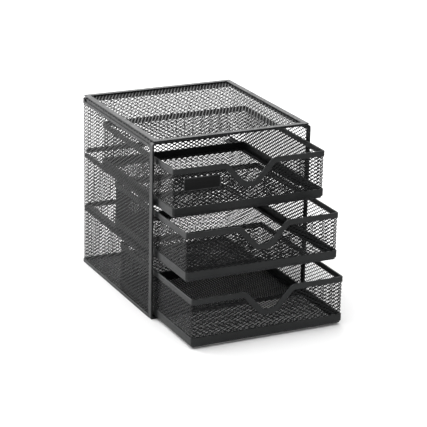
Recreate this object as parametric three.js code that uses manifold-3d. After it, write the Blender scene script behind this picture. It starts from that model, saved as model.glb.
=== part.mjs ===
// A desktop organizer of black expanded-metal mesh: an open-fronted cabinet with three sliding drawers.
// Millimetres, +Z up. The drawers open towards -Y. The origin is on the plane that the cabinet stands on, at the
// centre of the rectangle that the cabinet and its furthest open drawer cover.
import * as THREE from "three";
import { mergeVertices } from "three/addons/utils/BufferGeometryUtils.js";
import Module from "manifold-3d";

const wasm = await Module();
wasm.setup();

// ---- Driving dimensions -------------------------------------------------------------------------

const CABINET_WIDTH = 197.5;
const CABINET_DEPTH = 206.5;
const CABINET_HEIGHT = 210;
const BEND_RADIUS = 5; // outside radius where the wall mesh turns round the back corners
const SHEET = 0.5; // thickness of the mesh panels
const STRIP = 2.2; // thickness of a folded edge strip, across the sheet it grips
const SHEET_INSET = (STRIP - SHEET) / 2; // how far a sheet lies inside the outer face of its strips
const GAP = 0.3; // left between neighbouring pieces
const SEAM = 8; // how far the back pieces wrap along the side walls

const TOP_RIM_WIDTH = 6.5;
const TOP_RIM_THICKNESS = 1.2;
const TOP_RIM_CORNER = 0.8;
const TOP_RIM_SIDE_INSET = 2.4;
const TOP_RIM_FRONT_INSET = 0.3;
const TOP_RIM_BACK_INSET = 0.2;
const EDGE_MESH_INSET = 1.6;
const UPPER_HEM_TOP = 207;
const UPPER_HEM_HEIGHT = 6.1;
const LOWER_HEM_HEIGHT = 4;
const FLOOR_PANEL_Z = 1.8; // underside of the cabinet's mesh floor

const FRAME_DEPTH = 7.5; // front frame, front to back
const FRAME_HEIGHT = CABINET_HEIGHT - TOP_RIM_THICKNESS - GAP;
const FRAME_SIDE = 2.3; // thickness of the frame's side posts, then of its top and bottom rails
const FRAME_TOP = 1.3;
const FRAME_BOTTOM = 1.8;
const FRAME_UPPER_CORNER = 4.5;
const FRAME_LOWER_CORNER = 1.5;

const DRAWER_WIDTH = 187.4;
const DRAWER_DEPTH = 200;
const DRAWER_HEIGHT = 53.6;
const DRAWER_CORNER = 3;
const RIM_HEIGHT = 6.5;
const BAND_HEIGHT = 8.6;
const DRAWER_FLOOR_Z = 1; // underside of a drawer's mesh floor, above its base band's lower edge
const SKID_HEIGHT = 2.2;
const SKID_WIDTH = 3;
const SKID_INSET = 1;

const DIP_TOP_WIDTH = 56.4; // finger dip in the middle of each drawer front
const DIP_BOTTOM_WIDTH = 13;
const DIP_DEPTH = 24;
const DIP_SHOULDER_RADIUS = 10;
const DIP_BOTTOM_RADIUS = 5;
const DIP_BAR_WIDTH = 120; // length of front rim that is made in one piece with the dip

const RUNNER_THICKNESS = 1;
const RUNNER_FLANGE = 5.7; // height of the flange on the wall, with the leg's thickness
const RUNNER_LEG = 8.5; // reach of the leg into the cabinet, with the flange's thickness
const BACK_FLANGE = 4.8; // the same two sizes for the angles across the back wall
const BACK_LEG = 4.4; // ends 0.45 mm behind a closed drawer's back

const PLATE_WIDTH = 44.5;
const PLATE_HEIGHT = 15;
const PLATE_THICKNESS = 0.75;
const PLATE_FROM_LEFT = 12.5;
const PLATE_FROM_TOP = 11.5;
const PLATE_PROUD = 0.2; // how far the plate stands in front of the drawer's rim

// Base height of each drawer's band, and how far each drawer stands open.
const DRAWERS = [
  { name: "top_drawer", base: 136.8, open: 44.4, plate: true },
  { name: "middle_drawer", base: 75.3, open: 80.7, plate: false },
  { name: "bottom_drawer", base: 4.8, open: 97, plate: false },
];

// The angle runners under the upper two drawers: the upper ones stand flange up, the middle ones hang flange down.
// backZ is the underside of the angle across the back wall: beside the top drawer's base band, and below the middle
// drawer.
const RUNNERS = [
  { name: "upper_runner", base: DRAWERS[0].base, flangeUp: true, backZ: 138.5 },
  { name: "middle_runner", base: DRAWERS[1].base, flangeUp: false, backZ: 69.4 },
];

// ---- Colours ------------------------------------------------------------------------------------

const meshPaint = () => new THREE.MeshStandardMaterial({ color: 0x17181a, roughness: 0.42, metalness: 0.5 });
const stripPaint = () => new THREE.MeshStandardMaterial({ color: 0x1d1f21, roughness: 0.38, metalness: 0.5 });
const platePaint = () => new THREE.MeshStandardMaterial({ color: 0x222425, roughness: 0.5, metalness: 0.2 });

// ---- Outlines -----------------------------------------------------------------------------------

const ARC_STEPS = 5;

// A polyline whose inner corners are rounded: corners holds one radius for each inner point.
function roundedPath(points, corners) {
  const path = [points[0]];
  for (let i = 1; i < points.length - 1; i++) {
    const incoming = points[i].clone().sub(points[i - 1]).normalize();
    const outgoing = points[i + 1].clone().sub(points[i]).normalize();
    const turn = Math.atan2(incoming.cross(outgoing), incoming.dot(outgoing));
    const radius = corners[i - 1];
    const side = Math.sign(turn);
    const start = points[i].clone().addScaledVector(incoming, -radius * Math.tan(Math.abs(turn) / 2));
    const toCentre = new THREE.Vector2(-incoming.y, incoming.x).multiplyScalar(side * radius);
    const centre = start.clone().add(toCentre);
    for (let step = 0; step <= ARC_STEPS; step++) {
      path.push(start.clone().rotateAround(centre, (turn * step) / ARC_STEPS));
    }
  }
  path.push(points[points.length - 1]);
  return path;
}

// A rectangle about the origin with one radius at all four corners.
function roundedRectangle(width, depth, radius) {
  const x = width / 2 - radius;
  const y = depth / 2 - radius;
  const shape = new THREE.Shape();
  shape.absarc(x, -y, radius, -Math.PI / 2, 0);
  shape.absarc(x, y, radius, 0, Math.PI / 2);
  shape.absarc(-x, y, radius, Math.PI / 2, Math.PI);
  shape.absarc(-x, -y, radius, Math.PI, 1.5 * Math.PI);
  shape.closePath();
  return shape;
}

function ringShape(width, depth, radius, band) {
  const ring = roundedRectangle(width, depth, radius);
  ring.holes.push(roundedRectangle(width - 2 * band, depth - 2 * band, Math.max(radius - band, 0.5)));
  return ring;
}

// The upper edge of a drawer front between x = -halfLength and x = halfLength, moved down square to itself.
function dipEdge(halfLength, offset) {
  const slope = Math.atan2(DIP_DEPTH, (DIP_TOP_WIDTH - DIP_BOTTOM_WIDTH) / 2);
  const spread = offset * Math.tan(slope / 2);
  const shoulder = DIP_TOP_WIDTH / 2 + spread;
  const bottom = DIP_BOTTOM_WIDTH / 2 + spread;
  const low = -offset - DIP_DEPTH;
  const points = [
    new THREE.Vector2(-halfLength, -offset),
    new THREE.Vector2(-shoulder, -offset),
    new THREE.Vector2(-bottom, low),
    new THREE.Vector2(bottom, low),
    new THREE.Vector2(shoulder, -offset),
    new THREE.Vector2(halfLength, -offset),
  ];
  const shoulderRadius = DIP_SHOULDER_RADIUS - offset;
  const bottomRadius = DIP_BOTTOM_RADIUS + offset;
  return roundedPath(points, [shoulderRadius, bottomRadius, bottomRadius, shoulderRadius]);
}

// ---- Solids -------------------------------------------------------------------------------------

function extrudeUp(shape, height) {
  return new THREE.ExtrudeGeometry(shape, { depth: height, bevelEnabled: false, curveSegments: ARC_STEPS });
}

// A shape drawn in X and Z, extruded from y = front towards +Y.
function extrudeBack(shape, depth, front) {
  return extrudeUp(shape, depth).rotateX(Math.PI / 2).translate(0, front + depth, 0);
}

function block(x0, x1, y0, y1, z0, z1) {
  const box = new THREE.BoxGeometry(x1 - x0, y1 - y0, z1 - z0);
  return box.translate((x0 + x1) / 2, (y0 + y1) / 2, (z0 + z1) / 2);
}

function toSolid(geometry) {
  const bare = geometry.clone();
  bare.deleteAttribute("normal");
  bare.deleteAttribute("uv");
  const merged = mergeVertices(bare, 1e-4);
  const mesh = new wasm.Mesh({
    numProp: 3,
    vertProperties: merged.attributes.position.array,
    triVerts: new Uint32Array(merged.index.array),
  });
  return new wasm.Manifold(mesh);
}

function toGeometry(solid) {
  const mesh = solid.getMesh();
  const geometry = new THREE.BufferGeometry();
  geometry.setAttribute("position", new THREE.BufferAttribute(mesh.vertProperties, 3));
  geometry.setIndex(new THREE.BufferAttribute(mesh.triVerts, 1));
  geometry.computeVertexNormals();
  return geometry;
}

function piece(name, geometry, material) {
  const mesh = new THREE.Mesh(geometry, material);
  mesh.name = name;
  return mesh;
}

// ---- Cabinet ------------------------------------------------------------------------------------

const halfWidth = CABINET_WIDTH / 2;
const halfDepth = CABINET_DEPTH / 2;
const frontFace = -halfDepth;
const frameBack = frontFace + FRAME_DEPTH;
const seamY = halfDepth - SEAM;
const upperHemBottom = UPPER_HEM_TOP - UPPER_HEM_HEIGHT;
const wallInnerFace = SHEET_INSET + SHEET; // distance from the cabinet's outer face to the sheet's inside

// A U in plan that follows the cabinet's back and turns along both sides as far forward as y = front.
function backWrap(inset, thickness, height, front = seamY) {
  const outer = BEND_RADIUS - inset;
  const inner = Math.max(outer - thickness, 0.3);
  const x = halfWidth - inset;
  const y = halfDepth - inset;
  const at = (px, py) => new THREE.Vector2(px, py);
  const outside = roundedPath([at(x, front), at(x, y), at(-x, y), at(-x, front)], [outer, outer]);
  const xIn = x - thickness;
  const yIn = y - thickness;
  const inside = roundedPath([at(-xIn, front), at(-xIn, yIn), at(xIn, yIn), at(xIn, front)], [inner, inner]);
  return extrudeUp(new THREE.Shape([...outside, ...inside]), height);
}

// A panel or strip along one side wall, from the front frame to the seam of the back piece.
function sideStrip(side, inset, thickness, z0, z1) {
  const outer = side * (halfWidth - inset);
  const inner = side * (halfWidth - inset - thickness);
  return block(Math.min(outer, inner), Math.max(outer, inner), frameBack + GAP, seamY - GAP, z0, z1);
}

// An angle's section for the side at -X: a flange on the wall, and a leg with its top at z = 0.
function angleProfile(wallDistance, flange, leg, flangeUp) {
  const wall = -(wallDistance - wallInnerFace - GAP);
  const [near, far, end] = flangeUp
    ? [-RUNNER_THICKNESS, 0, flange - RUNNER_THICKNESS]
    : [0, -RUNNER_THICKNESS, -flange];
  const points = [
    [wall, near],
    [wall, end],
    [wall + RUNNER_THICKNESS, end],
    [wall + RUNNER_THICKNESS, far],
    [wall + leg, far],
    [wall + leg, near],
  ];
  return new THREE.Shape(points.map(([x, z]) => new THREE.Vector2(x, z)));
}

function runnerSet({ name, base, flangeUp, backZ }) {
  const set = new THREE.Group();
  const legTop = base - SKID_HEIGHT - GAP;
  const front = frameBack + GAP;
  const back = halfDepth - BEND_RADIUS - GAP;
  const sideProfile = angleProfile(halfWidth, RUNNER_FLANGE, RUNNER_LEG, flangeUp);
  const left = piece(name + "_left", extrudeBack(sideProfile, back - front, front), stripPaint());
  const right = piece(name + "_right", left.geometry.clone().rotateZ(Math.PI), stripPaint());
  left.position.z = legTop;
  right.position.set(0, front + back, legTop);
  const span = 2 * (halfWidth - BEND_RADIUS - GAP);
  const backProfile = angleProfile(halfDepth, BACK_FLANGE, BACK_LEG, true);
  const across = piece(name + "_back", extrudeBack(backProfile, span, -span / 2).rotateZ(-Math.PI / 2), stripPaint());
  across.position.z = backZ + RUNNER_THICKNESS;
  set.add(left, right, across);
  return set;
}

function frontFrame() {
  const at = (x, z) => new THREE.Vector2(x, z);
  const outline = (x, z0, z1, upper, lower) =>
    roundedPath([at(0, z0), at(x, z0), at(x, z1), at(-x, z1), at(-x, z0), at(-1, z0)], [lower, upper, upper, lower]);
  const shape = new THREE.Shape(outline(halfWidth, 0, FRAME_HEIGHT, FRAME_UPPER_CORNER, FRAME_LOWER_CORNER));
  const innerX = halfWidth - FRAME_SIDE;
  const innerTop = FRAME_HEIGHT - FRAME_TOP;
  const opening = outline(innerX, FRAME_BOTTOM, innerTop, FRAME_UPPER_CORNER - FRAME_TOP, FRAME_LOWER_CORNER / 2);
  shape.holes.push(new THREE.Path(opening));
  return extrudeBack(shape, FRAME_DEPTH, frontFace);
}

function cabinet() {
  const body = new THREE.Group();
  const wallBottom = LOWER_HEM_HEIGHT + GAP;
  const wallTop = upperHemBottom - GAP;

  for (const [side, word] of [[-1, "left"], [1, "right"]]) {
    body.add(
      piece(word + "_wall_mesh", sideStrip(side, SHEET_INSET, SHEET, wallBottom, wallTop), meshPaint()),
      piece("upper_hem_" + word, sideStrip(side, 0, STRIP, upperHemBottom, UPPER_HEM_TOP), stripPaint()),
      piece("lower_hem_" + word, sideStrip(side, 0, STRIP, 0, LOWER_HEM_HEIGHT), stripPaint()),
    );
  }
  const backMesh = backWrap(SHEET_INSET, SHEET, wallTop - wallBottom).translate(0, 0, wallBottom);
  const upperHem = backWrap(0, STRIP, UPPER_HEM_HEIGHT).translate(0, 0, upperHemBottom);
  body.add(
    piece("back_wall_mesh", backMesh, meshPaint()),
    piece("upper_hem_back", upperHem, stripPaint()),
    piece("lower_hem_back", backWrap(0, STRIP, LOWER_HEM_HEIGHT), stripPaint()),
    piece("front_frame", frontFrame(), stripPaint()),
  );

  // The flat top: a mesh panel inside a flat rim, and the panel's turned-down edge between the rim and the hems.
  const rimWidth = CABINET_WIDTH - 2 * TOP_RIM_SIDE_INSET;
  const rimFront = frontFace + TOP_RIM_FRONT_INSET;
  const rimBack = halfDepth - TOP_RIM_BACK_INSET;
  const rimZ = CABINET_HEIGHT - TOP_RIM_THICKNESS;
  const rimShape = ringShape(rimWidth, rimBack - rimFront, TOP_RIM_CORNER, TOP_RIM_WIDTH);
  const rim = extrudeUp(rimShape, TOP_RIM_THICKNESS).translate(0, (rimFront + rimBack) / 2, rimZ);
  const panelEdge = TOP_RIM_WIDTH + GAP;
  const panelX = rimWidth / 2 - panelEdge;
  const panelZ = rimZ + (TOP_RIM_THICKNESS - SHEET) / 2;
  const panel = block(-panelX, panelX, rimFront + panelEdge, rimBack - panelEdge, panelZ, panelZ + SHEET);
  const edgeBottom = UPPER_HEM_TOP + GAP;
  const edge = backWrap(EDGE_MESH_INSET, SHEET, rimZ - GAP - edgeBottom, frameBack + GAP);
  body.add(
    piece("top_rim", rim, stripPaint()),
    piece("top_mesh", panel, meshPaint()),
    piece("top_edge_mesh", edge.translate(0, 0, edgeBottom), meshPaint()),
  );

  // The floor lies inside the lower hems, behind the front frame.
  const floorFront = frameBack + GAP;
  const floorBack = halfDepth - STRIP - GAP;
  const floorShape = roundedRectangle(2 * (halfWidth - STRIP - GAP), floorBack - floorFront, BEND_RADIUS);
  const floor = extrudeUp(floorShape, SHEET).translate(0, (floorFront + floorBack) / 2, FLOOR_PANEL_Z);
  body.add(piece("floor_mesh", floor, meshPaint()));

  body.add(...RUNNERS.map(runnerSet));
  return body;
}

// ---- Drawers ------------------------------------------------------------------------------------
// A drawer is drawn with its front face at y = 0 and the lower edge of its base band at z = 0.

const drawerHalf = DRAWER_WIDTH / 2;
const drawerMiddleY = DRAWER_DEPTH / 2;

function drawerRing(inset, band, radius, z0, z1) {
  const shape = ringShape(DRAWER_WIDTH - 2 * inset, DRAWER_DEPTH - 2 * inset, radius, band);
  return extrudeUp(shape, z1 - z0).translate(0, drawerMiddleY, z0);
}

function drawerRim() {
  const ring = toSolid(drawerRing(0, STRIP, DRAWER_CORNER, DRAWER_HEIGHT - RIM_HEIGHT, DRAWER_HEIGHT));
  const half = DIP_BAR_WIDTH / 2;
  const overlap = 0.1;
  const cut = half - overlap;
  const away = toSolid(block(-cut, cut, -1, STRIP + 1, DRAWER_HEIGHT - RIM_HEIGHT - 1, DRAWER_HEIGHT + 1));
  const bar = new THREE.Shape([...dipEdge(half, RIM_HEIGHT), ...dipEdge(half, 0).reverse()]);
  const dipped = toSolid(extrudeBack(bar, STRIP, 0).translate(0, 0, DRAWER_HEIGHT));
  return toGeometry(ring.subtract(away).add(dipped));
}

function drawerFrontMesh(z0) {
  const half = drawerHalf - wallInnerFace - GAP;
  const edge = dipEdge(half, RIM_HEIGHT + GAP).map((p) => new THREE.Vector2(p.x, p.y + DRAWER_HEIGHT));
  const shape = new THREE.Shape([new THREE.Vector2(half, z0), ...edge.reverse(), new THREE.Vector2(-half, z0)]);
  return extrudeBack(shape, SHEET, SHEET_INSET);
}

function drawer({ name, base, open, plate }) {
  const body = new THREE.Group();
  body.position.set(0, frontFace - open, base);
  const low = BAND_HEIGHT + GAP;
  const high = DRAWER_HEIGHT - RIM_HEIGHT - GAP;
  const back = DRAWER_DEPTH - SHEET_INSET;
  const sideX = drawerHalf - SHEET_INSET;
  const acrossX = sideX - SHEET - GAP;
  const floorX = drawerHalf - STRIP - GAP;
  const floorY = STRIP + GAP;
  const floorZ = DRAWER_FLOOR_Z;
  body.add(
    piece(name + "_rim", drawerRim(), stripPaint()),
    piece(name + "_base_band", drawerRing(0, STRIP, DRAWER_CORNER, 0, BAND_HEIGHT), stripPaint()),
    piece(name + "_skid_frame", drawerRing(SKID_INSET, SKID_WIDTH, SKID_INSET, -SKID_HEIGHT, -GAP), stripPaint()),
    piece(name + "_front_mesh", drawerFrontMesh(low), meshPaint()),
    piece(name + "_back_mesh", block(-acrossX, acrossX, back - SHEET, back, low, high), meshPaint()),
    piece(name + "_left_mesh", block(-sideX, -sideX + SHEET, SHEET_INSET, back, low, high), meshPaint()),
    piece(name + "_right_mesh", block(sideX - SHEET, sideX, SHEET_INSET, back, low, high), meshPaint()),
    piece(
      name + "_floor_mesh",
      block(-floorX, floorX, floorY, DRAWER_DEPTH - floorY, floorZ, floorZ + SHEET),
      meshPaint(),
    ),
  );
  if (plate) {
    const left = -drawerHalf + PLATE_FROM_LEFT;
    const top = DRAWER_HEIGHT - PLATE_FROM_TOP;
    const face = -PLATE_PROUD;
    const slab = block(left, left + PLATE_WIDTH, face, face + PLATE_THICKNESS, top - PLATE_HEIGHT, top);
    body.add(piece(name + "_name_plate", slab, platePaint()));
  }
  return body;
}

// ---- Organizer ----------------------------------------------------------------------------------
// The cabinet and the drawers are drawn about the centre of the cabinet's base, then moved back as one.

const organizer = new THREE.Group();
organizer.position.y = Math.max(...DRAWERS.map((each) => each.open)) / 2;
organizer.add(cabinet(), ...DRAWERS.map(drawer));

export default organizer;
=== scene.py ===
"""Looks for a black expanded-metal desktop organizer with three sliding drawers, built round its CAD frame.

Shapes are worked out in millimetres from the boxes of the CAD nodes, and turned into metres as each mesh
is made.
"""

import math

import bmesh
import bpy
import numpy as np
from mathutils import Matrix, Vector


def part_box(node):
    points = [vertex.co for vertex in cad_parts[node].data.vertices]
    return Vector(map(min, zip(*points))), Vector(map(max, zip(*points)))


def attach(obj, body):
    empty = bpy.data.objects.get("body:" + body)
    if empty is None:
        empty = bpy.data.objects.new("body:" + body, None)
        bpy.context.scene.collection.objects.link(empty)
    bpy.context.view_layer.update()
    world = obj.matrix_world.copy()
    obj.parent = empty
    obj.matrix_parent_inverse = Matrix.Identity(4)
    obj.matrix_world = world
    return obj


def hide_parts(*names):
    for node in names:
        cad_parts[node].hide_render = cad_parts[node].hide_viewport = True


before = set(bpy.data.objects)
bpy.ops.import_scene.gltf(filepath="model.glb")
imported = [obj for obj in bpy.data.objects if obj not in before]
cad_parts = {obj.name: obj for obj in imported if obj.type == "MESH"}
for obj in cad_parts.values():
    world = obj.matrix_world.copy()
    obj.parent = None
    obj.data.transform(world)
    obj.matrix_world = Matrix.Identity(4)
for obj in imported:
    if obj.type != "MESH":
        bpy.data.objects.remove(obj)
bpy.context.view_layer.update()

MM = 0.001

# ---- Sizes in millimetres -----------------------------------------------------------------------

LONG_WAY = 7.5  # diamond pitch along its long diagonal
SHORT_WAY = 4.27  # diamond pitch along its short diagonal
HOLE_TOP = 1.56  # half height of a hole
KNUCKLE_U = 2.6  # half width of a hole, where its blunt ends begin
KNUCKLE_V = 0.2  # half height of a hole's blunt end
WIRE_HALF = 0.28  # half thickness of a strand on its centre line
EDGE_HALF = 0.2  # half thickness of a strand at the hole's edge
TILT = 0.22  # how far a strand's edges lean out of the sheet's plane
FLAT_TILT = 0.1  # the same on a flattened panel

BEND_STEPS = 8  # steps in a quarter turn
HIDDEN = 2.6  # how far a net runs on inside the strip that grips it
CABINET_CORNER = 5
DRAWER_CORNER = 3
STRIP = 2.2
HEM_GROOVE = 3  # how deep the upper hems' groove is behind their outer side
RIM_HEIGHT = 6.5
DIP_TOP_WIDTH = 56.4
DIP_BOTTOM_WIDTH = 13
DIP_DEPTH = 24
DIP_SHOULDER_RADIUS = 10
DIP_BOTTOM_RADIUS = 5
DIP_NET_EDGE = 3.4  # the net's holes stop where their centres come this near the dip's upper edge
RUNNER_THICKNESS = 1
BAND_LEDGE = 6.5  # how far a drawer's base band reaches in under the floor net

# ---- Camera, in millimetres and degrees ---------------------------------------------------------

CAMERA_AT = (-896.4, -1828.8, 803.0)
CAMERA_AZIMUTH = 26.22
CAMERA_ELEVATION = 19.13
CAMERA_ROLL = 1.26
CAMERA_LENS = 156.6


# ---- Node boxes ---------------------------------------------------------------------------------


def box_mm(node):
    low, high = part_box(node)
    return np.array(low) / MM, np.array(high) / MM


# ---- Materials ----------------------------------------------------------------------------------


class Shader:
    """A node material with one Principled shader, and short ways to add nodes to it."""

    def __init__(self, name):
        self.material = bpy.data.materials.new(name)
        self.material.use_nodes = True
        self.nodes = self.material.node_tree.nodes
        self.links = self.material.node_tree.links
        self.shader = self.nodes["Principled BSDF"]
        self.place = self.nodes.new("ShaderNodeTexCoord").outputs["Object"]

    def noise(self, scale, detail=2.0, stretch=(1, 1, 1)):
        mapping = self.nodes.new("ShaderNodeMapping")
        mapping.inputs["Scale"].default_value = stretch
        self.links.new(self.place, mapping.inputs["Vector"])
        noise = self.nodes.new("ShaderNodeTexNoise")
        noise.inputs["Scale"].default_value = scale
        noise.inputs["Detail"].default_value = detail
        self.links.new(mapping.outputs["Vector"], noise.inputs["Vector"])
        return noise.outputs["Fac"]

    def attribute(self, name):
        node = self.nodes.new("ShaderNodeAttribute")
        node.attribute_name = name
        return node.outputs["Fac"]

    def spread(self, value, low, high, start=0.3, end=0.7):
        """Maps a value from start..end to low..high."""
        node = self.nodes.new("ShaderNodeMapRange")
        self.links.new(value, node.inputs["Value"])
        node.inputs["From Min"].default_value = start
        node.inputs["From Max"].default_value = end
        node.inputs["To Min"].default_value = low
        node.inputs["To Max"].default_value = high
        return node.outputs["Result"]

    def times(self, a, b):
        node = self.nodes.new("ShaderNodeMath")
        node.operation = "MULTIPLY"
        self.links.new(a, node.inputs[0])
        self.links.new(b, node.inputs[1])
        return node.outputs[0]

    def mix(self, factor, a, b):
        node = self.nodes.new("ShaderNodeMix")
        node.data_type = "RGBA"
        self.links.new(factor, node.inputs[0])
        for value, socket in ((a, node.inputs[6]), (b, node.inputs[7])):
            if isinstance(value, tuple):
                socket.default_value = (*value, 1)
            else:
                self.links.new(value, socket)
        return node.outputs[2]

    def bump(self, layers):
        """layers holds (height, strength, distance in metres), lowest first."""
        normal = None
        for height, strength, distance in layers:
            node = self.nodes.new("ShaderNodeBump")
            node.inputs["Strength"].default_value = strength
            node.inputs["Distance"].default_value = distance
            self.links.new(height, node.inputs["Height"])
            if normal:
                self.links.new(normal, node.inputs["Normal"])
            normal = node.outputs["Normal"]
        self.links.new(normal, self.shader.inputs["Normal"])

    def drive(self, socket, value):
        self.links.new(value, self.shader.inputs[socket])


def powder_coat(name, dark, light, worn, rough_low, rough_high, ior):
    """Black powder coat: fine orange peel, cloudy gloss, and slightly burnished edges."""
    s = Shader(name)
    cloud = s.spread(s.noise(38, 3), 0, 1)
    fleck = s.spread(s.noise(2600, 1), 0, 1, 0.62, 0.72)
    coat = s.mix(cloud, dark, light)
    flecked = s.mix(s.times(fleck, s.spread(s.noise(90), 0.0, 0.5)), coat, worn)
    edge = s.times(s.attribute("edge"), s.spread(s.noise(160, 4), 0, 0.75, 0.42, 0.62))
    s.drive("Base Color", s.mix(edge, flecked, worn))
    s.drive("Roughness", s.spread(s.noise(240, 3), rough_low, rough_high))
    s.bump([(s.noise(130, 1), 0.12, 0.0002), (s.noise(1500, 2), 0.25, 0.00005)])
    s.shader.inputs["IOR"].default_value = ior
    return s.material


def rubbed_steel(name):
    """The same coat on the runners and skids, polished in streaks along the way the drawers slide."""
    s = Shader(name)
    streak = s.spread(s.noise(900, 2, (1, 0.012, 1)), 0, 0.6, 0.5, 0.75)
    s.drive("Base Color", s.mix(streak, (0.017, 0.018, 0.019), (0.075, 0.076, 0.078)))
    s.drive("Roughness", s.spread(streak, 0.42, 0.24, 0, 0.6))
    s.bump([(s.noise(1200, 2, (1, 0.02, 1)), 0.2, 0.00004)])
    s.shader.inputs["IOR"].default_value = 1.3
    return s.material


def enamel(name):
    """The blank plate: smooth dark enamel with a faint brushed grain and a paler rubbed rim."""
    s = Shader(name)
    grain = s.noise(1500, 2, (0.02, 1, 1))
    coat = s.mix(s.spread(grain, 0, 1), (0.003, 0.0031, 0.0032), (0.006, 0.0062, 0.0064))
    edge = s.times(s.attribute("edge"), s.spread(s.noise(200, 3), 0.2, 0.8))
    s.drive("Base Color", s.mix(edge, coat, (0.09, 0.092, 0.095)))
    s.drive("Roughness", s.spread(grain, 0.3, 0.4))
    s.bump([(grain, 0.15, 0.00003)])
    s.shader.inputs["IOR"].default_value = 1.2
    return s.material


MESH_PAINT = powder_coat(
    "mesh_paint", (0.005, 0.0053, 0.0056), (0.009, 0.0096, 0.01), (0.03, 0.031, 0.032), 0.3, 0.42, 1.22)
STRIP_PAINT = powder_coat(
    "strip_paint", (0.009, 0.0098, 0.01), (0.014, 0.0152, 0.0156), (0.05, 0.052, 0.054), 0.3, 0.44, 1.3)
RUNNER_PAINT = rubbed_steel("runner_paint")
PLATE_PAINT = enamel("plate_paint")


# ---- Making pieces ------------------------------------------------------------------------------

SMOOTH_BELOW = math.radians(40)


def make_piece(name, mesh, paint, body, node):
    """Wraps a mesh that is in metres as a piece that stands for one CAD node."""
    for polygon in mesh.polygons:
        polygon.use_smooth = True
    mesh.set_sharp_from_angle(angle=SMOOTH_BELOW)
    mesh.materials.append(paint)
    piece = bpy.data.objects.new(name, mesh)
    bpy.context.scene.collection.objects.link(piece)
    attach(piece, body)
    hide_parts(node)
    return piece


def mesh_from(name, points, faces, edge=None):
    """A mesh in metres from points in millimetres, with its faces turned out."""
    mesh = bpy.data.meshes.new(name)
    mesh.from_pydata([tuple(p) for p in np.asarray(points) * MM], [], faces)
    if edge is not None:
        layer = mesh.attributes.new("edge", "FLOAT", "POINT")
        layer.data.foreach_set("value", edge)
    work = bmesh.new()
    work.from_mesh(mesh)
    bmesh.ops.recalc_face_normals(work, faces=work.faces)
    work.to_mesh(mesh)
    work.free()
    return mesh


# ---- Outlines -----------------------------------------------------------------------------------


def rounded_path(points, radii, steps=BEND_STEPS):
    """Points and unit tangents along an open polyline with its inner corners rounded to the given radii."""
    corners = [np.array(p, float) for p in points]
    first = corners[1] - corners[0]
    path = [(corners[0], first / np.linalg.norm(first))]
    for i, radius in enumerate(radii, start=1):
        incoming = corners[i] - corners[i - 1]
        incoming /= np.linalg.norm(incoming)
        outgoing = corners[i + 1] - corners[i]
        outgoing /= np.linalg.norm(outgoing)
        turn = math.atan2(
            incoming[0] * outgoing[1] - incoming[1] * outgoing[0], float(incoming @ outgoing))
        start = corners[i] - incoming * radius * math.tan(abs(turn) / 2)
        normal = np.array([-incoming[1], incoming[0]]) * math.copysign(1, turn)
        centre = start + normal * radius
        for step in range(steps + 1):
            angle = turn * step / steps
            spin = np.array([[math.cos(angle), -math.sin(angle)], [math.sin(angle), math.cos(angle)]])
            path.append((centre + spin @ (start - centre), spin @ incoming))
    last = corners[-1] - corners[-2]
    path.append((corners[-1], last / np.linalg.norm(last)))
    return path


def rounded_loop(x0, x1, y0, y1, radius):
    """A closed rounded rectangle, counterclockwise from the middle of its y0 side."""
    middle = (x0 + x1) / 2
    corners = [(middle, y0), (x1, y0), (x1, y1), (x0, y1), (x0, y0), (middle, y0)]
    return rounded_path(corners, [radius] * 4)[:-1]


def bar_profile(a0, a1, b0, b1, round_low, round_high, steps=4):
    """A bar's section as (a, b, edge) points: round_low rounds the corners at b0, round_high those at b1.

    edge is 1 in the middle of a rounded corner and 0 on the flats. Two more points close to each corner keep
    the flats flat when the shading is smooth.
    """
    section = []
    margin = 0.12
    corners = [
        (a0, b0, round_low, 180),
        (a1, b0, round_low, 270),
        (a1, b1, round_high, 0),
        (a0, b1, round_high, 90),
    ]
    for a, b, radius, start in corners:
        centre_a = a + (radius if a == a0 else -radius)
        centre_b = b + (radius if b == b0 else -radius)
        arc = []
        for step in range(steps + 1):
            angle = math.radians(start + 90 * step / steps)
            on_edge = 1 - abs(2 * step / steps - 1)
            point = (centre_a + radius * math.cos(angle), centre_b + radius * math.sin(angle))
            arc.append((*point, on_edge))
        start, end = math.radians(start), math.radians(start + 90)
        before = (arc[0][0] + margin * math.sin(start), arc[0][1] - margin * math.cos(start), 0)
        after = (arc[-1][0] - margin * math.sin(end), arc[-1][1] + margin * math.cos(end), 0)
        section += [before, *arc, after]
    return section


def sweep(name, stations, section, closed):
    """Carries a section along stations, each a point with the section's a and b directions there."""
    origin = np.array([s[0] for s in stations], float)
    along_a = np.array([s[1] for s in stations], float)
    along_b = np.array([s[2] for s in stations], float)
    a = np.array([p[0] for p in section])[None, :, None]
    b = np.array([p[1] for p in section])[None, :, None]
    points = origin[:, None] + a * along_a[:, None] + b * along_b[:, None]
    count, sides = len(stations), len(section)
    faces = []
    for i in range(count if closed else count - 1):
        j = (i + 1) % count
        for k in range(sides):
            m = (k + 1) % sides
            faces.append((i * sides + k, i * sides + m, j * sides + m, j * sides + k))
    if not closed:
        faces.append(tuple(range(sides)))
        faces.append(tuple((count - 1) * sides + k for k in reversed(range(sides))))
    edge = np.tile([p[2] for p in section], count)
    return mesh_from(name, points.reshape(-1, 3), faces, edge)


def upright(loop, z):
    """Stations for a strip that stands on edge: a goes inwards from the loop's outer face, b goes up."""
    return [((p[0], p[1], z), (-t[1], t[0], 0), (0, 0, 1)) for p, t in loop]


# ---- Expanded-metal nets ------------------------------------------------------------------------


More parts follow.
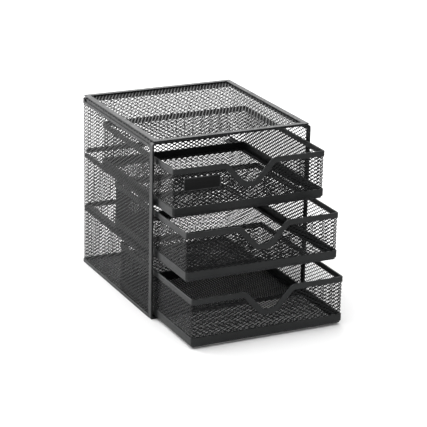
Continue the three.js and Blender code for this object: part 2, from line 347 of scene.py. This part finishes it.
def net_mesh(name, u_range, v_range, place, v_start, long_way=LONG_WAY, tilt=TILT, keep=None):
    """A net of staggered diamonds, cut to u_range and v_range, laid out by place(u, v, w).

    u runs along the diamonds' long way and v along their short way; w is out of the sheet.
    A row of holes has its centres at v_start. keep(u, v) says which holes' surrounds are made.
    """
    half_u, half_v = long_way / 2, SHORT_WAY / 2
    stretch = long_way / LONG_WAY
    knuckle = KNUCKLE_U * stretch
    hole = [
        (knuckle, KNUCKLE_V),
        (0, HOLE_TOP),
        (-knuckle, KNUCKLE_V),
        (-knuckle, -KNUCKLE_V),
        (0, -HOLE_TOP),
        (knuckle, -KNUCKLE_V),
    ]
    # Each pair of neighbours round the hole, with the corners of the diamond that they join.
    spans = [(0, 1, 0, 1), (1, 2, 1, 2), (2, 3, 2, 2), (3, 4, 2, 3), (4, 5, 3, 0), (5, 0, 0, 0)]
    points, faces, shared = [], [], {}

    def corner(i, j):
        if (i, j) not in shared:
            shared[i, j] = len(points)
            points.append((i * half_u, v_start + j * half_v, WIRE_HALF))
            points.append((i * half_u, v_start + j * half_v, -WIRE_HALF))
        return shared[i, j]

    first_row = math.floor((v_range[0] - v_start) / half_v)
    last_row = math.ceil((v_range[1] - v_start) / half_v)
    first_column = math.floor(u_range[0] / half_u)
    last_column = math.ceil(u_range[1] / half_u)
    for j in range(first_row, last_row + 1):
        for i in range(first_column, last_column + 1):
            centre_u, centre_v = i * half_u, v_start + j * half_v
            if (i + j) % 2 or (keep and not keep(centre_u, centre_v)):
                continue
            outer = [corner(i + 1, j), corner(i, j + 1), corner(i - 1, j), corner(i, j - 1)]
            base = len(points)
            for u, v in hole:
                lean = tilt * v / HOLE_TOP
                points.append((centre_u + u, centre_v + v, lean + EDGE_HALF))
                points.append((centre_u + u, centre_v + v, lean - EDGE_HALF))
            for m, n, p, q in spans:
                near, far = base + 2 * m, base + 2 * n
                faces.append((near, near + 1, far + 1, far))
                for back in (0, 1):
                    ring = [outer[p] + back, outer[q] + back, far + back, near + back]
                    ring = ring if p != q else ring[1:]
                    faces.append(tuple(ring if back == 0 else ring[::-1]))
    mesh = bpy.data.meshes.new(name)
    mesh.from_pydata(points, [], faces)
    work = bmesh.new()
    work.from_mesh(mesh)
    cuts = [
        ((u_range[0], 0, 0), (-1, 0, 0)),
        ((u_range[1], 0, 0), (1, 0, 0)),
        ((0, v_range[0], 0), (0, -1, 0)),
        ((0, v_range[1], 0), (0, 1, 0)),
    ]
    for at, outwards in cuts:
        everything = work.verts[:] + work.edges[:] + work.faces[:]
        bmesh.ops.bisect_plane(
            work, geom=everything, dist=1e-4, plane_co=at, plane_no=outwards, clear_outer=True)
    bmesh.ops.recalc_face_normals(work, faces=work.faces)
    work.to_mesh(mesh)
    work.free()
    flat = np.empty(len(mesh.vertices) * 3)
    mesh.vertices.foreach_get("co", flat)
    u, v, w = flat.reshape(-1, 3).T
    laid = np.stack(place(u, v, w), axis=1) * MM
    mesh.vertices.foreach_set("co", laid.ravel())
    mesh.update()
    return mesh


class WallPath:
    """A rounded rectangle in plan that a wall net follows, measured from the middle of its front side."""

    def __init__(self, x0, x1, y0, y1, radius):
        self.radius = radius
        straight_x = x1 - x0 - 2 * radius
        straight_y = y1 - y0 - 2 * radius
        turn = math.pi / 2 * radius
        half_x = straight_x / 2
        lengths = [half_x, turn, straight_y, turn, straight_x, turn, straight_y, turn, half_x]
        self.marks = np.concatenate([[0], np.cumsum(lengths)])
        self.total = self.marks[-1]
        self.starts = []
        point = np.array([(x0 + x1) / 2, y0])
        heading = 0.0
        for index, length in enumerate(lengths):
            self.starts.append((point, heading))
            ahead = np.array([math.cos(heading), math.sin(heading)])
            if index % 2:
                left = np.array([-ahead[1], ahead[0]])
                point = point + radius * (ahead + left)
                heading += math.pi / 2
            else:
                point = point + length * ahead

    def at(self, u):
        """x, y and the outward normal's x and y at distances u."""
        u = np.mod(np.asarray(u, float), self.total)
        which = np.clip(np.searchsorted(self.marks, u, side="right") - 1, 0, len(self.starts) - 1)
        start = np.array([s[0] for s in self.starts])[which]
        heading = np.array([s[1] for s in self.starts])[which]
        run = u - self.marks[which]
        turning = which % 2 == 1
        angle = np.where(turning, run / self.radius, 0)
        ahead = np.where(turning, self.radius * np.sin(angle), run)
        left = np.where(turning, self.radius * (1 - np.cos(angle)), 0)
        x = start[:, 0] + ahead * np.cos(heading) - left * np.sin(heading)
        y = start[:, 1] + ahead * np.sin(heading) + left * np.cos(heading)
        facing = heading + angle
        return x, y, np.sin(facing), -np.cos(facing)

    def place(self, u, v, w):
        x, y, normal_x, normal_y = self.at(u)
        return x + w * normal_x, y + w * normal_y, v

    def corner_middle(self, number):
        """Distance to the middle of a corner: 0 front right, 1 back right, 2 back left, 3 front left."""
        index = 1 + 2 * number
        return (self.marks[index] + self.marks[index + 1]) / 2

    def pitch(self):
        """The diamond pitch nearest LONG_WAY that goes round the whole path a whole number of times."""
        return self.total / round(self.total / LONG_WAY)


# ---- Cabinet ------------------------------------------------------------------------------------


def cabinet_walls():
    low, high = box_mm("front_frame")
    back = box_mm("back_wall_mesh")
    lower_hem = box_mm("lower_hem_back")
    upper_hem = box_mm("upper_hem_back")
    inset = STRIP / 2
    path = WallPath(
        low[0] + inset, high[0] - inset, low[1] + inset, lower_hem[1][1] - inset, CABINET_CORNER - inset)
    heights = (lower_hem[1][2] - HIDDEN, upper_hem[0][2] + HIDDEN)
    seam_y = back[0][1]
    frame_y = high[1] - HIDDEN
    side_start = path.marks[2]
    corner_y = low[1] + CABINET_CORNER
    seam = side_start + seam_y - corner_y
    front = side_start + frame_y - corner_y
    ranges = {
        "right_wall": (front, seam),
        "back_wall": (seam, path.total - seam),
        "left_wall": (path.total - seam, path.total - front),
    }
    for name, span in ranges.items():
        mesh = net_mesh(name + "_net", span, heights, path.place, back[0][2], path.pitch())
        make_piece(name + "_net", mesh, MESH_PAINT, "cabinet", name + "_mesh")


def hem_section(height, groove):
    """A hem's section. With a groove, its outer side stands up by that much above its inner side."""
    if not groove:
        return bar_profile(0, STRIP, 0, height, 0.45, 0.45)
    skin = 0.6
    body = bar_profile(0, STRIP, 0, height - groove, 0.45, 0.2)
    inner_side = [p for p in body if p[0] > skin]
    foot = [p for p in body if p[0] <= skin and p[1] < 1]
    lip = [
        (skin, height - groove, 0),
        (skin, height - 0.1, 0),
        (skin - 0.1, height, 1),
        (0.2, height, 1),
        (0, height - 0.2, 1),
        (0, height - 0.4, 0),
    ]
    return foot + inner_side + lip


def cabinet_hems():
    for level, groove in (("upper", HEM_GROOVE), ("lower", 0)):
        low, high = box_mm(f"{level}_hem_back")
        height = high[2] - low[2]
        section = hem_section(height, groove)
        corners = [(high[0], low[1]), (high[0], high[1]), (low[0], high[1]), (low[0], low[1])]
        wrap = rounded_path(corners, [CABINET_CORNER] * 2)
        mesh = sweep(f"{level}_back_strip", upright(wrap, low[2]), section, closed=False)
        make_piece(mesh.name, mesh, STRIP_PAINT, "cabinet", f"{level}_hem_back")
        for word in ("left", "right"):
            side_low, side_high = box_mm(f"{level}_hem_{word}")
            line = [(side_high[0], side_low[1]), (side_high[0], side_high[1])]
            run = rounded_path(line, [])
            mesh = sweep(f"{level}_{word}_strip", upright(run, side_low[2]), section, closed=False)
            make_piece(mesh.name, mesh, STRIP_PAINT, "cabinet", f"{level}_hem_{word}")


def cabinet_frame():
    """The folded channel round the open front: an outer and an inner outline joined across."""
    low, high = box_mm("front_frame")
    outer_corners = (1.5, 4.5)
    inner_corners = (0.75, 3.2)
    side, top, bottom = 2.3, 1.3, 1.8

    def outline(x0, x1, z0, z1, radii):
        middle = (x0 + x1) / 2
        corners = [(middle, z0), (x1, z0), (x1, z1), (x0, z1), (x0, z0), (middle, z0)]
        return rounded_path(corners, [radii[0], radii[1], radii[1], radii[0]])[:-1]

    outer = outline(low[0], high[0], low[2], high[2], outer_corners)
    inner = outline(low[0] + side, high[0] - side, low[2] + bottom, high[2] - top, inner_corners)
    stations = []
    for (p, _), (q, _) in zip(outer, inner):
        across = (q - p) / side
        stations.append(((p[0], low[1], p[1]), (across[0], 0, across[1]), (0, 1, 0)))
    section = bar_profile(0, side, 0, high[1] - low[1], 0.8, 0.3)
    mesh = sweep("front_channel", stations, section, closed=True)
    make_piece(mesh.name, mesh, STRIP_PAINT, "cabinet", "front_frame")


def cabinet_top():
    low, high = box_mm("top_rim")
    panel_low, panel_high = box_mm("top_mesh")
    gap = 0.3
    width = panel_low[0] - low[0] - gap
    outer = rounded_loop(low[0], high[0], low[1], high[1], 0.8)
    inner = rounded_loop(low[0] + width, high[0] - width, low[1] + width, high[1] - width, 0.4)
    stations = []
    for (p, _), (q, _) in zip(outer, inner):
        across = (q - p) / width
        stations.append(((p[0], p[1], low[2]), (across[0], across[1], 0), (0, 0, 1)))
    section = bar_profile(0, width, 0, high[2] - low[2], 0.5, 0.42)
    mesh = sweep("top_strip", stations, section, closed=True)
    make_piece(mesh.name, mesh, STRIP_PAINT, "cabinet", "top_rim")

    # The top net lies just under the rim, with its long way from front to back.
    sheet_z = low[2] - WIRE_HALF - TILT

    def flat(u, v, w):
        return v, u, sheet_z + w

    along = (panel_low[1] - HIDDEN, panel_high[1] + HIDDEN)
    across = (panel_low[0] - HIDDEN, panel_high[0] + HIDDEN)
    mesh = net_mesh("top_net", along, across, flat, 0)
    make_piece(mesh.name, mesh, MESH_PAINT, "cabinet", "top_mesh")
    cabinet_top_edge(low, high)


def cabinet_top_edge(rim_low, rim_high):
    """The top net's turned-down edge: it drops from the rim into the upper hems' groove."""
    hem = box_mm("upper_hem_back")
    front = box_mm("front_frame")[1][1]
    inset = 1.6
    path = WallPath(
        hem[0][0] + inset, hem[1][0] - inset, rim_low[1], hem[1][1] - inset, CABINET_CORNER - inset)
    bottom, top = hem[1][2] - HEM_GROOVE - 0.2, rim_low[2] + 0.2
    tuck = 0.3  # how far the net's upper edge lies inside the rim's outer edge
    slant = math.hypot(rim_low[0] + tuck - hem[0][0] - inset, top - bottom)
    outwards = (top - bottom) / slant
    upwards = math.sqrt(1 - outwards**2)
    row = ((hem[1][2] + rim_low[2]) / 2 - bottom) / outwards

    def slope(u, v, w):
        x, y, normal_x, normal_y = path.at(u)
        share = v / slant
        upper_x = np.clip(x, rim_low[0] + tuck, rim_high[0] - tuck)
        upper_y = np.minimum(y, rim_high[1] - tuck)
        return (
            x + (upper_x - x) * share + w * normal_x * outwards,
            y + (upper_y - y) * share + w * normal_y * outwards,
            bottom + (top - bottom) * share + w * upwards,
        )

    start = path.marks[2] + front - rim_low[1] - CABINET_CORNER + inset
    span = (start, path.total - start)
    mesh = net_mesh("top_edge_net", span, (0, slant), slope, row, path.pitch(), FLAT_TILT)
    make_piece(mesh.name, mesh, MESH_PAINT, "cabinet", "top_edge_mesh")

    # Painted shade: a sheet under the rim, drawn as the folded edge's inner leg, stands behind the edge net
    # and closes the view through its holes so that they read dark like a shaded groove.
    leg = 5.2
    inward = 3.6
    x0, x1 = rim_low[0] + inward, rim_high[0] - inward
    back = rim_high[1] - inward
    corners = [(x1, front), (x1, back), (x0, back), (x0, front)]
    section = bar_profile(0, 0.5, 0, leg, 0.12, 0.12)
    stations = upright(rounded_path(corners, [3, 3]), rim_low[2] - leg)
    mesh = sweep("top_edge_shade_sheet", stations, section, closed=False)
    make_piece(mesh.name, mesh, STRIP_PAINT, "cabinet", "top_edge_mesh")


def flat_net(name, node, body, margin):
    """A flattened net over a floor panel, with its long way from side to side."""
    low, high = box_mm(node)
    sheet_z = (low[2] + high[2]) / 2

    def flat(u, v, w):
        return u, v, sheet_z + w * 0.85

    span = (low[0] - margin, high[0] + margin)
    depth = (low[1] - margin, high[1] + margin)
    mesh = net_mesh(name, span, depth, flat, low[1], tilt=FLAT_TILT)
    return make_piece(name, mesh, MESH_PAINT, body, node)


def runner_section(flange, leg, upright_flange):
    """An angle bent from strip: the flange on the wall, the bend, and the leg.

    b is measured from the leg's outer side, and the flange points away from that side.
    """
    t = RUNNER_THICKNESS
    outer, inner = 1.3, 0.4
    section = [(0, -flange, 0)]
    for step in range(5):
        angle = math.radians(180 - 90 * step / 4)
        section.append((outer + outer * math.cos(angle), -outer + outer * math.sin(angle), 1))
    section += [(leg - 0.3, 0, 0.4), (leg, -0.3, 1), (leg, -t + 0.2, 0.4), (leg - 0.2, -t, 0)]
    for step in range(4):
        angle = math.radians(90 + 90 * step / 3)
        section.append((t + inner + inner * math.cos(angle), -t - inner + inner * math.sin(angle), 0))
    section.append((t, -flange, 0))
    if upright_flange:
        section = [(a, -b, edge) for a, b, edge in section]
    return section


def cabinet_runners():
    for level in ("upper", "middle"):
        for word in ("left", "right", "back"):
            node = f"{level}_runner_{word}"
            low, high = box_mm(node)
            upright_flange = word == "back" or level == "upper"
            z = low[2] if upright_flange else high[2]
            flange = high[2] - low[2]
            if word == "back":
                ends = [(high[0], high[1], z), (low[0], high[1], z)]
                inward = (0, -1, 0)
                leg = high[1] - low[1]
            else:
                wall = low[0] if word == "left" else high[0]
                ends = [(wall, low[1], z), (wall, high[1], z)]
                inward = (1, 0, 0) if word == "left" else (-1, 0, 0)
                leg = high[0] - low[0]
            stations = [(end, inward, (0, 0, 1)) for end in ends]
            section = runner_section(flange, leg, upright_flange)
            mesh = sweep(f"{level}_{word}_angle", stations, section, closed=False)
            make_piece(mesh.name, mesh, RUNNER_PAINT, "cabinet", node)


# ---- Drawers ------------------------------------------------------------------------------------


def dip_corners(offset):
    """The shoulder's and the bottom's half widths, moved square to the dip's upper edge by offset."""
    slope = math.atan2(DIP_DEPTH, (DIP_TOP_WIDTH - DIP_BOTTOM_WIDTH) / 2)
    spread = offset * math.tan(slope / 2)
    return DIP_TOP_WIDTH / 2 + spread, DIP_BOTTOM_WIDTH / 2 + spread


def drawer_rim(drawer):
    low, high = box_mm(f"{drawer}_rim")
    top = high[2]
    shoulder, bottom = dip_corners(0)
    lead = shoulder + DIP_SHOULDER_RADIUS
    left_side = [(-lead, 0), (-shoulder, 0), (-bottom, -DIP_DEPTH)]
    corners = left_side + [(-x, z) for x, z in reversed(left_side)]
    radii = [DIP_SHOULDER_RADIUS, DIP_BOTTOM_RADIUS, DIP_BOTTOM_RADIUS, DIP_SHOULDER_RADIUS]
    stations = []
    for (x, z), (tx, tz) in rounded_path(corners, radii):
        stations.append(((x, low[1], top + z), (0, 1, 0), (-tz, 0, tx)))
    loop = rounded_loop(low[0], high[0], low[1], high[1], DRAWER_CORNER)
    stations += upright(loop[1:], top)
    section = bar_profile(0, STRIP, -RIM_HEIGHT, 0, 0.35, 0.95)
    mesh = sweep(f"{drawer}_rim_channel", stations, section, closed=True)
    make_piece(mesh.name, mesh, STRIP_PAINT, drawer, f"{drawer}_rim")


def band_section(height):
    """The base band: an upright strip, bent in below to a narrow ledge that the floor net lies on."""
    ledge_top = 0.75
    section = bar_profile(0, STRIP, 0, height, 0.7, 0.35)
    turned = [p for p in section if not (p[0] > STRIP / 2 and p[1] < height / 2)]
    split = next(i for i, p in enumerate(turned) if p[0] > STRIP / 2)
    foot = [(BAND_LEDGE, 0, 1), (BAND_LEDGE, ledge_top, 1), (STRIP, ledge_top, 0)]
    return turned[:split] + foot + turned[split:]


def drawer_base(drawer):
    low, high = box_mm(f"{drawer}_base_band")
    loop = rounded_loop(low[0], high[0], low[1], high[1], DRAWER_CORNER)
    inner = rounded_loop(
        low[0] + BAND_LEDGE, high[0] - BAND_LEDGE, low[1] + BAND_LEDGE, high[1] - BAND_LEDGE, 0.5)
    stations = []
    for (p, _), (q, _) in zip(loop, inner):
        across = (q - p) / BAND_LEDGE
        stations.append(((p[0], p[1], low[2]), (across[0], across[1], 0), (0, 0, 1)))
    mesh = sweep(f"{drawer}_band_channel", stations, band_section(high[2] - low[2]), closed=True)
    make_piece(mesh.name, mesh, STRIP_PAINT, drawer, f"{drawer}_base_band")

    low, high = box_mm(f"{drawer}_skid_frame")
    width = 3
    loop = rounded_loop(low[0], high[0], low[1], high[1], width + 0.5)
    section = bar_profile(0, width, 0, high[2] - low[2], 0.7, 0.3)
    mesh = sweep(f"{drawer}_skid", upright(loop, low[2]), section, closed=True)
    make_piece(mesh.name, mesh, RUNNER_PAINT, drawer, f"{drawer}_skid_frame")


def drawer_nets(drawer):
    low, high = box_mm(f"{drawer}_base_band")
    top = box_mm(f"{drawer}_rim")[1][2]
    inset = STRIP / 2
    path = WallPath(
        low[0] + inset, high[0] - inset, low[1] + inset, high[1] - inset, DRAWER_CORNER - inset)
    heights = (high[2] - HIDDEN, top - RIM_HEIGHT + HIDDEN)
    shoulder, bottom = dip_corners(DIP_NET_EDGE)

    def below_dip(u, v):
        x = abs((u + path.total / 2) % path.total - path.total / 2)
        slope = DIP_DEPTH / (shoulder - bottom)
        drop = min(DIP_DEPTH, max(0, (shoulder - x) * slope))
        return v < top - DIP_NET_EDGE - drop

    middles = [path.corner_middle(number) for number in range(4)]
    ranges = {
        "front": (middles[3] - path.total, middles[0]),
        "right": (middles[0], middles[1]),
        "back": (middles[1], middles[2]),
        "left": (middles[2], middles[3]),
    }
    for side, span in ranges.items():
        mesh = net_mesh(
            f"{drawer}_{side}_net", span, heights, path.place, high[2], path.pitch(),
            keep=below_dip if side == "front" else None)
        make_piece(mesh.name, mesh, MESH_PAINT, drawer, f"{drawer}_{side}_mesh")
    flat_net(f"{drawer}_floor_net", f"{drawer}_floor_mesh", drawer, 0.2)


def name_plate():
    node = "top_drawer_name_plate"
    low, high = box_mm(node)
    thickness = high[1] - low[1]
    margin, border, corner = 0.8, 0.35, 1.2
    loop = rounded_loop(low[0], high[0], low[2], high[2], corner)
    middle = np.array([(low[0] + high[0]) / 2, (low[2] + high[2]) / 2])
    section = [(0, 1, 0), (0, 0.35, 1), (0.12, 0.12, 1), (0.35, 0, 1), (margin, 0, 0.6)]
    section += [(margin + border, 0.12, 0)]
    points, faces, edge = [], [], []
    for inward, depth, wear in section:
        for p, t in loop:
            x, z = p + np.array([-t[1], t[0]]) * inward
            points.append((x, low[1] + min(depth, thickness), z))
            edge.append(wear)
    sides = len(loop)
    for ring in range(len(section) - 1):
        for k in range(sides):
            m = (k + 1) % sides
            here, there = ring * sides, (ring + 1) * sides
            faces.append((here + k, here + m, there + m, there + k))
    faces.append(tuple(range((len(section) - 1) * sides, len(section) * sides)))
    faces.append(tuple(reversed(range(sides))))
    mesh = mesh_from("blank_plate", points, faces, edge)
    make_piece("blank_plate", mesh, PLATE_PAINT, "top_drawer", node)


# ---- Studio -------------------------------------------------------------------------------------


def studio():
    world = bpy.data.worlds.new("studio")
    world.use_nodes = True
    background = world.node_tree.nodes["Background"]
    background.inputs["Color"].default_value = (1, 1, 1, 1)
    background.inputs["Strength"].default_value = 0.5
    bpy.context.scene.world = world
    bpy.context.scene.view_settings.view_transform = "Standard"

    floor_half = 8
    corners = [(x * floor_half, y * floor_half, 0) for x, y in ((-1, -1), (1, -1), (1, 1), (-1, 1))]
    mesh = bpy.data.meshes.new("floor")
    mesh.from_pydata(corners, [], [(0, 1, 2, 3)])
    floor = bpy.data.objects.new("floor", mesh)
    bpy.context.scene.collection.objects.link(floor)
    s = Shader("floor_white")
    s.drive("Base Color", s.mix(s.spread(s.noise(1.5), 0, 1), (0.94, 0.94, 0.94), (0.96, 0.96, 0.96)))
    s.shader.inputs["Roughness"].default_value = 0.9
    mesh.materials.append(s.material)

    soft_light("overhead", (-0.3, 0.3, 2.8), 4.0, 110)
    soft_light("rear", (0.8, 2.4, 1.3), 1.8, 22)
    soft_light("side", (-1.05, 1.9, 0.75), 1.4, 36)


def soft_light(name, at, size, watts):
    """A square softbox that faces the organizer."""
    data = bpy.data.lights.new(name, "AREA")
    data.shape = "SQUARE"
    data.size = size
    data.energy = watts
    light = bpy.data.objects.new(name, data)
    light.location = at
    aim = Vector((0, 0, 0.1)) - light.location
    light.rotation_euler = aim.to_track_quat("-Z", "Y").to_euler()
    bpy.context.scene.collection.objects.link(light)


def camera():
    data = bpy.data.cameras.new("camera")
    data.lens = CAMERA_LENS
    data.sensor_width = 36
    data.clip_end = 100
    azimuth, elevation, roll = (math.radians(v) for v in (CAMERA_AZIMUTH, CAMERA_ELEVATION, CAMERA_ROLL))
    forward = Vector((
        math.sin(azimuth) * math.cos(elevation),
        math.cos(azimuth) * math.cos(elevation),
        -math.sin(elevation),
    ))
    level_right = Vector((math.cos(azimuth), -math.sin(azimuth), 0))
    level_up = level_right.cross(forward)
    right = level_right * math.cos(roll) + level_up * math.sin(roll)
    up = level_up * math.cos(roll) - level_right * math.sin(roll)
    seat = bpy.data.objects.new("camera", data)
    seat.matrix_world = (
        Matrix.Translation(Vector(CAMERA_AT) * MM) @ Matrix((right, up, -forward)).transposed().to_4x4())
    bpy.context.scene.collection.objects.link(seat)
    bpy.context.scene.camera = seat


# ---- Everything ---------------------------------------------------------------------------------

camera()
studio()
cabinet_walls()
cabinet_hems()
cabinet_frame()
cabinet_top()
flat_net("cabinet_floor_net", "floor_mesh", "cabinet", 1)
cabinet_runners()
for each in ("top_drawer", "middle_drawer", "bottom_drawer"):
    drawer_rim(each)
    drawer_base(each)
    drawer_nets(each)
name_plate()
